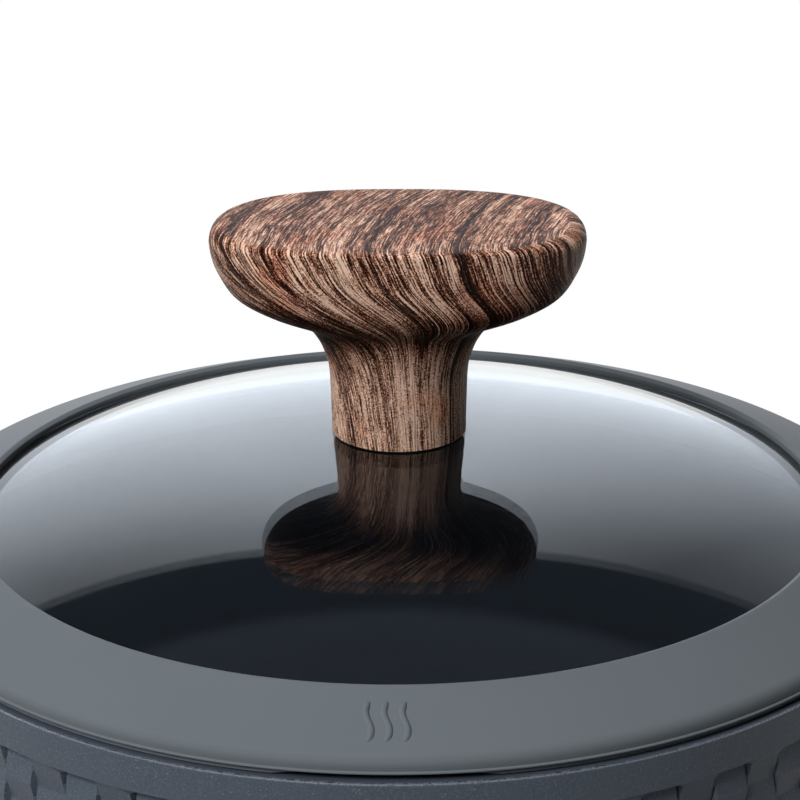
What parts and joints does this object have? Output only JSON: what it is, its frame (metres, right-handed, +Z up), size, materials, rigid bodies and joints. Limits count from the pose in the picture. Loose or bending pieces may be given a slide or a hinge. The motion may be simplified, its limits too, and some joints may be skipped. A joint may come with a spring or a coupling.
{
  "type": "electric hot pot",
  "caption": "Round electric hot pot with ear handles, a domed glass lid in a silicone ring with a wide knob, and a power base with a rotary switch.",
  "frame": {"origin": "on the table surface under the centre of the pot, at the bottom centre of the bounding box", "axes": "+Z up, -Y is the front with the rotary switch, +Y the power inlet, handles on +X and -X"},
  "size_m": [0.262, 0.2168, 0.1902],
  "materials": {
    "housing_pp": "fine moulded texture",
    "fascia_gloss": "polished",
    "knob_plastic": "satin",
    "lens_amber": "translucent lens",
    "lamp": "moulded lamp",
    "rubber_black": "matt",
    "steel": "zinc plated",
    "plate_aluminium": "turned and blasted",
    "pot_coat": "sandy non-stick coating on cast aluminium",
    "wood_print": "wood-grain transfer print on moulded plastic",
    "silicone_grey": "satin silicone",
    "tempered_glass": "clear, tempered",
    "brass": "machined",
    "lead_insulation": "silicone-insulated lead"
  },
  "bodies": {
    "base": {"base_housing": "housing_pp", "base_cover": "housing_pp", "rubber_feet": "rubber_black", "cover_screws": "steel", "heating_plate": "plate_aluminium", "heating_element": "steel", "heat_shield": "steel", "plate_screws": "steel", "spring_holder": "steel", "sensor_spring": "steel", "thermal_fuse": "steel", "rotary_switch": "lamp", "switch_nut": "steel", "control_fascia": "fascia_gloss", "indicator_lens": "lens_amber", "indicator_lamp": "lamp", "inlet_housing": "housing_pp", "inlet_pins": "brass", "lead_neutral": "lead_insulation", "lead_live": "lead_insulation", "lead_switched": "lead_insulation"},
    "control_knob": {"control_knob": "knob_plastic", "switch_shaft": "brass"},
    "sensor": {"sensor_cap": "plate_aluminium"},
    "pot": {"pot_shell": "pot_coat", "bracket_right": "steel", "bracket_left": "steel", "handle_right": "wood_print", "handle_left": "wood_print", "handle_screw_right": "steel", "handle_screw_left": "steel"},
    "lid": {"lid_glass": "tempered_glass", "lid_ring": "silicone_grey", "lid_knob": "wood_print", "knob_insert": "brass", "knob_seal": "silicone_grey", "glass_washer": "silicone_grey", "steel_washer": "steel", "knob_screw": "steel"}
  },
  "joints": [
    {"name": "pot_lift", "type": "slide", "parent": "base", "child": "pot", "axis": [0, 0, 1], "range_m": [0, 0.12]},
    {"name": "lid_lift", "type": "slide", "parent": "pot", "child": "lid", "axis": [0, 0, 1], "range_m": [0, 0.1]},
    {"name": "power_turn", "type": "hinge", "parent": "base", "child": "control_knob", "pos_m": [0, -0.1, 0.0195], "axis": [0, 1, 0], "range_deg": [0, 120]},
    {"name": "sensor_travel", "type": "slide", "parent": "base", "child": "sensor", "axis": [0, 0, 1], "range_m": [-0.002, 0], "stiffness_N_per_m": 300, "deforming": ["sensor_spring"]}
  ]
}
